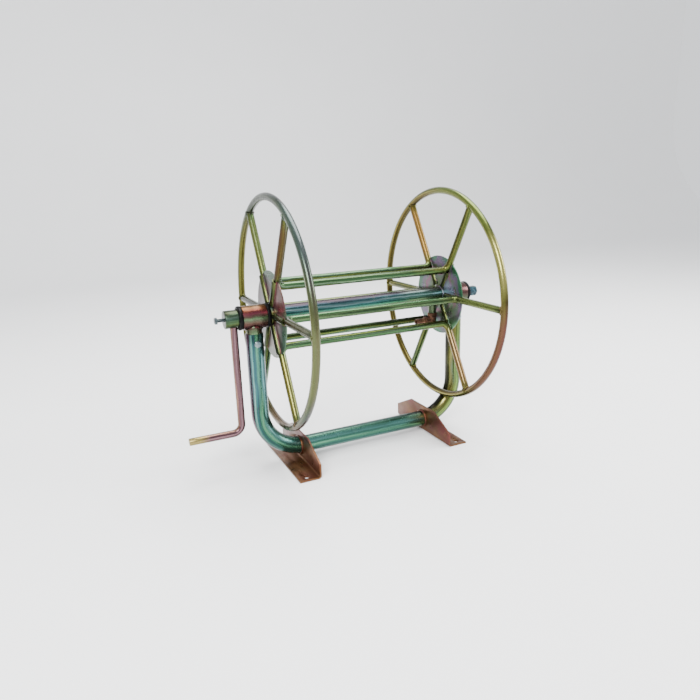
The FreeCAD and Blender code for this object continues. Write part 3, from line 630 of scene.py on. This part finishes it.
disc_steel = plated(
    "yellow_passivated_discs",
    [(0.00, (150, 70, 66)), (0.25, (150, 84, 88)), (0.42, (132, 112, 112)), (0.56, (146, 92, 108)),
     (0.70, (112, 122, 100)), (0.85, (124, 112, 118)), (1.00, (98, 128, 104))],
    [(0.00, (104, 122, 72)), (0.28, (116, 130, 118)), (0.44, (160, 88, 128)), (0.58, (112, 136, 108)),
     (0.74, (134, 106, 142)), (0.90, (96, 132, 116)), (1.00, (76, 134, 98))],
    turn=(-0.05, 0.05), patch=20.0, wander=0.30, metal=0.8, gloss=(0.24, 0.36), depth=0.46, painted_streaks=0.1,
    clouds=[((146, 74, 80), (-0.21, -0.060, 0.380), 0.05, 0.6),
            ((92, 98, 70), (-0.21, 0.0, 0.270), 0.05, 0.6),
            # A painted shadow on the crank side's disc beside the hub.
            ((84, 66, 74), (-0.21, 0.050, 0.350), 0.09, 0.8),
            # A pale painted reflection and a green painted reflection of the bars on the inlet side's disc.
            ((150, 166, 196), (0.21, -0.040, 0.350), 0.03, 0.7),
            ((84, 124, 76), (0.21, -0.04, 0.290), 0.05, 0.6)])
# Hub rods and collars: a pale painted highlight on one side fading to painted shade on the other.
hub_steel = plated(
    "yellow_passivated_hub_rods",
    [(0.00, (150, 196, 180)), (0.25, (170, 176, 110)), (0.50, (120, 130, 70)), (0.75, (96, 104, 56)),
     (1.00, (50, 62, 38))],
    patch=24.0, wander=0.16, depth=0.62)
disc_width = 0.074
collar_radius = 0.024
hub_rod_x = 0.2115
slot_inner, slot_length, slot_steps = 0.027, 0.062, 32
slot_half = rod_radius + 0.0003
for side_name, side in (("left", -1), ("right", 1)):
    disc_low, disc_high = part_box(f"hub_disc_{side_name}")
    softened(f"hub_disc_{side_name}", f"hub_disc_{side_name}_pressed", 0.0004, disc_steel, "reel",
             lambda point: (math.hypot(point.y, point.z - axle_z) - axle_radius) / disc_width)
    softened(f"hub_collar_{side_name}", f"hub_collar_{side_name}_turned", 0.0006, hub_steel, "reel",
             lambda point: 0.5 - 0.5 * (point.z - axle_z) / collar_radius)
    for face, face_x in (("inner", disc_low.x), ("outer", disc_high.x)):
        ring = circle(Vector((face_x, 0, axle_z)), Vector((0, 1, 0)), Vector((0, 0, 1)), axle_radius + 0.001)
        weld(f"axle_weld_{side_name}_{face}", ring, 0.0024, Vector((1, 0, 0)), disc_steel, "reel")
    for number in range(1, 7):
        outwards, sideways = spoke_directions(number)
        softened(f"hub_stiffener_{side_name}_{number}", f"hub_rod_{side_name}_{number}", 0.0008, hub_steel,
                 "reel",
                 lambda point: 0.5 - 0.5 * side * (abs(point.x) - hub_rod_x) / rod_radius)
        for face, face_x in (("inner", disc_low.x - 0.0002), ("outer", disc_high.x + 0.0002)):
            slot_weld = []
            for step in range(slot_steps):
                reach = slot_inner + slot_length * step / (slot_steps - 1)
                slot_weld.append(Vector((face_x, 0, axle_z)) + outwards * reach + sideways * slot_half)
            slot_weld += [point - sideways * (2 * slot_half) for point in reversed(slot_weld)]
            weld(f"hub_rod_weld_{side_name}_{number}_{face}", slot_weld, 0.0012, Vector((1, 0, 0)),
                 disc_steel, "reel")

# ---------------------------------------------------------------- crank
# One 16 mm rod, bent once: it goes down from the axle's end and out to a bare handle. Mauve and
# salmon pink with a painted highlight along one edge and painted shade along the other, worn
# brighter and yellower where it is gripped.

# The first bands are a painted highlight on one edge, the last bands painted shade on the other.
crank_steel = plated(
    "yellow_passivated_crank",
    [(0.00, (150, 106, 84)), (0.14, (196, 150, 128)), (0.28, (128, 92, 100)), (0.44, (158, 122, 128)),
     (0.58, (126, 92, 100)), (0.72, (112, 84, 74)), (0.86, (84, 62, 56)), (1.00, (44, 30, 30))],
    patch=10.0, wander=0.14, depth=0.60, clouds=[((176, 160, 92), (-0.408, 0, 0.097), 0.045, 0.85)])
crank_low, crank_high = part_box("crank_rod")
crank_x = crank_high.x - rod_radius
handle_z = crank_low.z + rod_radius
crank_bend = 0.020
crank_path = bent_path([Vector((crank_x, 0, crank_high.z)), Vector((crank_x, 0, handle_z)),
                        Vector((crank_low.x, 0, handle_z))], crank_bend, turns=12)
tube("crank_and_handle", crank_path, rod_radius, Vector((0, -1, 0)), crank_steel, "reel",
     ["crank_rod"], sides=28, ease=0.0014)

# ---------------------------------------------------------------- water inlet
# A plug welded in the axle's right end carries a hexagonal swivel, sealed by a rubber ring and kept
# on by a clip. The supply hose screws into the hexagon. The hexagon is bright zinc.

inlet_low, inlet_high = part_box("inlet_swivel")
inlet_flats = 0.022
inlet_length = inlet_high.x - inlet_low.x


def hexagon_rows(flats, length, chamfer):
    """Rows of a hexagon whose corners are turned off at both ends."""
    cone_steps = 6
    rows = []
    for step in range(cone_steps + 1):
        depth = chamfer * step / cone_steps
        rows.append((depth, lambda angle, cone=flats * 0.475 + depth * 1.73:
                     min(hexagon_radius(angle, flats), cone)))
    return rows + [(length - depth, radius) for depth, radius in reversed(rows)]


inlet_rows = [(0.001, 0.0066), (0.0, 0.0072)] + hexagon_rows(inlet_flats, inlet_length, 0.0016)
inlet_rows += [(inlet_length, 0.0084), (inlet_length - 0.0008, 0.0076)]
inlet_rows += reversed(thread_rows(inlet_length - 0.0115, inlet_length - 0.0009, 0.0082, 0.00134))
along_axle = Matrix.Translation((inlet_low.x, 0, axle_z)) @ Matrix.Rotation(math.radians(90), 4, "Y")
inlet_zinc = small_metal("blue_zinc_inlet", (14, 26, 32), (32, 52, 60), (64, 84, 88))
spun("inlet_hexagon", inlet_rows, along_axle, inlet_zinc, "inlet", ["inlet_swivel"])
# The pipe's green tones are a painted reflection of the green bars around it.
pipe_steel = plated(
    "grey_zinc_pipe",
    [(0.00, (96, 110, 84)), (0.40, (84, 100, 72)), (0.70, (108, 100, 70)), (1.00, (60, 70, 56))],
    patch=20.0, wander=0.2)
for node in ("inlet_plug", "water_pipe"):
    softened(node, f"{node}_turned", 0.0004, pipe_steel, "reel", lambda point: 0.5)
softened("swivel_clip", "swivel_clip_ring", 0.0002, bright_zinc, "reel", lambda point: 0.5)
seal_rubber, tree, shader, place = new_material("swivel_seal_rubber")
link(tree, mixed(tree, noise(tree, place, 200.0), display(14, 14, 14), display(34, 33, 32)),
     shader.inputs["Base Color"])
shader.inputs["Roughness"].default_value = 0.6
softened("swivel_seal", "swivel_seal_ring", 0.0002, seal_rubber, "reel", lambda point: 0.5)

# ---------------------------------------------------------------- water outlet
# Inside the drum the water pipe comes out under the axle. A union nut, an elbow and a plain stem
# turn it along the drum, ready for the hose. These are coppery brass with a mottled tone.

copper = small_metal("coppery_brass_outlet", (70, 50, 42), (102, 74, 60), (132, 100, 78))
nut_low, nut_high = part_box("outlet_nut")
nut_height = nut_high.z - nut_low.z
riser_x = (nut_low.x + nut_high.x) / 2
nut_bore = 0.0092
nut_rows = [(0.0, nut_bore)] + hexagon_rows(inlet_flats, nut_height, 0.0014) + [(nut_height, nut_bore)]
spun("outlet_union_nut", nut_rows, Matrix.Translation((riser_x, 0, nut_low.z)) @ Matrix.Rotation(
    math.radians(30), 4, "Z"), copper, "reel", ["outlet_nut"])
for node in ("outlet_elbow", "hose_tail"):
    softened(node, f"{node}_turned", 0.0010, copper, "reel", lambda point: 0.5)

# ---------------------------------------------------------------- studio
# A pale floor that sweeps up into a pale wall, three large soft lights and a bright even surround.

sweep_start, sweep_radius, sweep_steps = 3.2, 1.4, 16
sweep_points = [(-3.0, 0.0), (sweep_start, 0.0)]
for step in range(1, sweep_steps + 1):
    turn = math.pi / 2 * step / sweep_steps
    sweep_points.append((sweep_start + sweep_radius * math.sin(turn), sweep_radius * (1 - math.cos(turn))))
sweep_points.append((sweep_start + sweep_radius, 5.5))
backdrop = bpy.data.meshes.new("studio_sweep")
sweep_vertices = [(x, y, z) for y, z in sweep_points for x in (-7.0, 7.0)]
backdrop.from_pydata(sweep_vertices, [], [(2 * i, 2 * i + 1, 2 * i + 3, 2 * i + 2)
                                          for i in range(len(sweep_points) - 1)])
backdrop.shade_smooth()
floor = bpy.data.objects.new("studio_sweep", backdrop)
bpy.context.scene.collection.objects.link(floor)
paper, tree, shader, place = new_material("studio_paper")
link(tree, mixed(tree, noise(tree, place, 3.0), (0.88, 0.88, 0.88, 1), (0.91, 0.91, 0.91, 1)),
     shader.inputs["Base Color"])
shader.inputs["Roughness"].default_value = 0.9
backdrop.materials.append(paper)

for label, spot, size, power in (("key", (-1.9, -2.2, 2.3), 1.4, 170.0), ("top", (0.5, 0.3, 2.8), 2.0, 150.0),
                                 ("side", (2.6, -1.0, 1.6), 1.2, 80.0)):
    lamp = bpy.data.lights.new(label, "AREA")
    lamp.size = size
    lamp.energy = power
    holder = bpy.data.objects.new(label, lamp)
    bpy.context.scene.collection.objects.link(holder)
    holder.location = spot
    holder.rotation_mode = "QUATERNION"
    holder.rotation_quaternion = (Vector((0, 0, 0.3)) - Vector(spot)).to_track_quat("-Z", "Y")
world = bpy.data.worlds.new("studio")
bpy.context.scene.world = world
world.use_nodes = True
world.node_tree.nodes["Background"].inputs["Color"].default_value = (0.95, 0.97, 1.0, 1)
world.node_tree.nodes["Background"].inputs["Strength"].default_value = 1.25

# ---------------------------------------------------------------- camera
# The camera stands at the crank's end, a little above the reel, and looks slightly down at it.

yaw, pitch, roll = 0.4334, 0.2658, -0.0317
ahead = Vector((math.sin(yaw) * math.cos(pitch), math.cos(yaw) * math.cos(pitch), -math.sin(pitch)))
right = ahead.cross(Vector((0, 0, 1))).normalized()
up = right.cross(ahead)
turned_right = right * math.cos(roll) + up * math.sin(roll)
turned_up = up * math.cos(roll) - right * math.sin(roll)
lens = bpy.data.cameras.new("camera")
lens.sensor_width = 36.0
lens.lens = 36.0 * 590.3 / 700
camera = bpy.data.objects.new("camera", lens)
bpy.context.scene.collection.objects.link(camera)
camera.matrix_world = Matrix.Translation((-0.5775, -1.1816, 0.5906)) @ Matrix(
    (turned_right, turned_up, -ahead)).transposed().to_4x4()
bpy.context.scene.camera = camera
